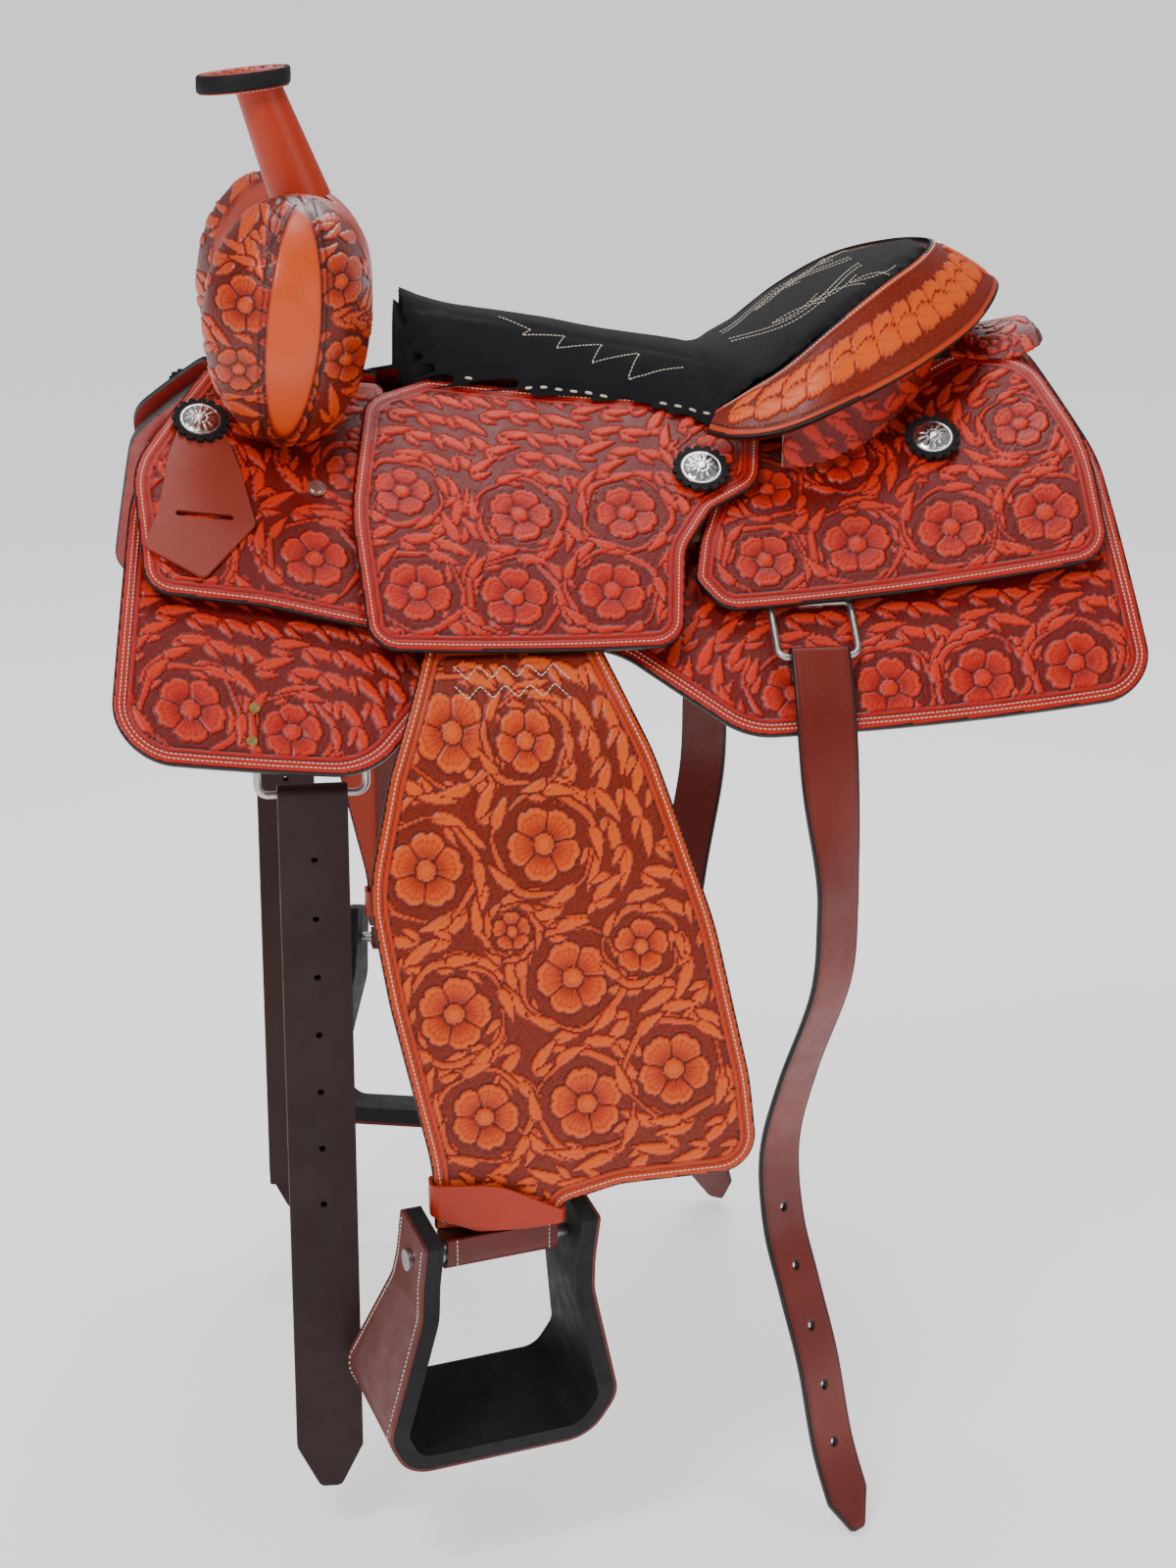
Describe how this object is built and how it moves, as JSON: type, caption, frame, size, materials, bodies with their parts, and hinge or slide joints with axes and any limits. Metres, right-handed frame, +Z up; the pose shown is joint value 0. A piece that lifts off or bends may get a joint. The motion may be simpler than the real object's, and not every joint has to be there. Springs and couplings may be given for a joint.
{
  "type": "western saddle",
  "caption": "Western saddle with floral-tooled leather, suede seat, high cantle, horn, fenders, bell stirrups and rigging straps on hinged joints.",
  "frame": {"origin": "on the ridge line of the skirts, in the middle plane, half way along the saddle (the horse_back mount)", "axes": "+Z up, -X towards the horse's head, -Y the near (left) side"},
  "size_m": [0.7554, 0.7458, 1.0834],
  "materials": {
    "black_leather": "black rough-out leather",
    "brass": "polished brass",
    "dark_strap_leather": "near-black oiled strap leather",
    "fleece": "cream woolskin",
    "foam": "dense felt and foam",
    "keeper_leather": "plain pink-tan leather",
    "rosette_leather": "scalloped leather with dyed edge",
    "silver": "engraved nickel silver",
    "steel": "stainless steel",
    "strap_leather": "dark red-brown oiled strap leather",
    "suede": "black suede, matte",
    "tan_leather": "orange-tan tooled leather",
    "tooled_leather": "red floral-tooled leather, antiqued",
    "wood": "sanded hardwood"
  },
  "bodies": {
    "saddle": {"cantle_back": "tooled_leather", "cheyenne_roll": "tan_leather", "concho_rosettes": "rosette_leather", "conchos": "silver", "fleece_near": "fleece", "fleece_off": "fleece", "fork_cover": "tan_leather", "front_jockey_near": "tooled_leather", "front_jockey_off": "tooled_leather", "front_rigging_plates": "steel", "ground_seat": "black_leather", "horn_cap_top": "tan_leather", "horn_cap_underside": "tan_leather", "horn_core": "steel", "horn_neck_wrap": "tan_leather", "jockey_screws": "silver", "latigo_keepers": "keeper_leather", "rear_connector": "tooled_leather", "rear_jockey_near": "tooled_leather", "rear_jockey_off": "tooled_leather", "rear_rigging_plates": "steel", "rigging_rivets": "brass", "seat_cover": "suede", "seat_foam": "foam", "seat_jockey_near": "tooled_leather", "seat_jockey_off": "tooled_leather", "skirt_near": "tooled_leather", "skirt_off": "tooled_leather", "tree_bar_near": "wood", "tree_bar_off": "wood", "tree_cantle": "wood", "tree_fork": "wood"},
    "near_fender": {"fender_near": "tooled_leather", "hobble_strap_near": "tan_leather", "stirrup_leather_near": "strap_leather"},
    "off_fender": {"fender_off": "tooled_leather", "hobble_strap_off": "tan_leather", "stirrup_leather_off": "strap_leather"},
    "near_tongue": {"fender_tongue_near": "tooled_leather"},
    "off_tongue": {"fender_tongue_off": "tooled_leather"},
    "near_front_billet": {"front_billet_near": "dark_strap_leather"},
    "off_front_billet": {"front_billet_off": "dark_strap_leather"},
    "near_front_ring": {"front_ring_near": "steel"},
    "off_front_ring": {"front_ring_off": "steel"},
    "near_rear_billet": {"rear_billet_near": "strap_leather"},
    "off_rear_billet": {"rear_billet_off": "strap_leather"},
    "near_rear_dee": {"rear_dee_near": "steel"},
    "off_rear_dee": {"rear_dee_off": "steel"},
    "near_stirrup": {"stirrup_bolt_near": "steel", "stirrup_core_near": "black_leather", "stirrup_cover_near": "strap_leather", "stirrup_lining_near": "black_leather"},
    "off_stirrup": {"stirrup_bolt_off": "steel", "stirrup_core_off": "black_leather", "stirrup_cover_off": "strap_leather", "stirrup_lining_off": "black_leather"},
    "near_loop": {"stirrup_loop_near": "strap_leather"},
    "off_loop": {"stirrup_loop_off": "strap_leather"}
  },
  "joints": [
    {"name": "near_fender_swing", "type": "hinge", "parent": "saddle", "child": "near_tongue", "pos_m": [-0.08, -0.13324, -0.06766], "axis": [0, -0.6764, 0.7365], "range_deg": [0, 4]},
    {"name": "off_fender_swing", "type": "hinge", "parent": "saddle", "child": "off_tongue", "pos_m": [-0.08, 0.13324, -0.06766], "axis": [0, -0.6764, -0.7365], "range_deg": [0, 4]},
    {"name": "near_fender_lift", "type": "hinge", "parent": "near_tongue", "child": "near_fender", "pos_m": [-0.08, -0.2194, -0.1484], "axis": [-1, 0, 0], "range_deg": [0, 20]},
    {"name": "off_fender_lift", "type": "hinge", "parent": "off_tongue", "child": "off_fender", "pos_m": [-0.08, 0.2194, -0.1484], "axis": [1, 0, 0], "range_deg": [0, 20]},
    {"name": "near_stirrup_turn", "type": "hinge", "parent": "near_fender", "child": "near_loop", "pos_m": [-0.1, -0.3245, -0.553], "axis": [0, 0, 1], "range_deg": [0, 60]},
    {"name": "off_stirrup_turn", "type": "hinge", "parent": "off_fender", "child": "off_loop", "pos_m": [-0.1, 0.3245, -0.553], "axis": [0, 0, -1], "range_deg": [0, 60]},
    {"name": "near_stirrup_rock", "type": "hinge", "parent": "near_loop", "child": "near_stirrup", "pos_m": [-0.1, -0.3245, -0.566], "axis": [0.9613, 0.2756, 0], "range_deg": [-40, 1]},
    {"name": "off_stirrup_rock", "type": "hinge", "parent": "off_loop", "child": "off_stirrup", "pos_m": [-0.1, 0.3245, -0.566], "axis": [-0.9613, 0.2756, 0], "range_deg": [-40, 1]},
    {"name": "near_front_ring_swing", "type": "hinge", "parent": "saddle", "child": "near_front_ring", "pos_m": [-0.222, -0.2474, -0.204], "axis": [-1, 0, 0], "range_deg": [-8, 0]},
    {"name": "off_front_ring_swing", "type": "hinge", "parent": "saddle", "child": "off_front_ring", "pos_m": [-0.222, 0.2474, -0.204], "axis": [1, 0, 0], "range_deg": [-8, 0]},
    {"name": "near_front_billet_swing", "type": "hinge", "parent": "near_front_ring", "child": "near_front_billet", "pos_m": [-0.222, -0.2474, -0.242], "axis": [-1, 0, 0], "range_deg": [-10, 0]},
    {"name": "off_front_billet_swing", "type": "hinge", "parent": "off_front_ring", "child": "off_front_billet", "pos_m": [-0.222, 0.2474, -0.242], "axis": [1, 0, 0], "range_deg": [-10, 0]},
    {"name": "near_rear_dee_lift", "type": "hinge", "parent": "saddle", "child": "near_rear_dee", "pos_m": [0.15, -0.19195, -0.12854], "axis": [-1, 0, 0], "range_deg": [0, 4]},
    {"name": "off_rear_dee_lift", "type": "hinge", "parent": "saddle", "child": "off_rear_dee", "pos_m": [0.15, 0.19195, -0.12854], "axis": [1, 0, 0], "range_deg": [0, 4]},
    {"name": "near_rear_billet_swing", "type": "hinge", "parent": "near_rear_dee", "child": "near_rear_billet", "pos_m": [0.15, -0.22979, -0.1592], "axis": [-1, 0, 0], "range_deg": [0, 50]},
    {"name": "off_rear_billet_swing", "type": "hinge", "parent": "off_rear_dee", "child": "off_rear_billet", "pos_m": [0.15, 0.22979, -0.1592], "axis": [1, 0, 0], "range_deg": [0, 50]}
  ]
}
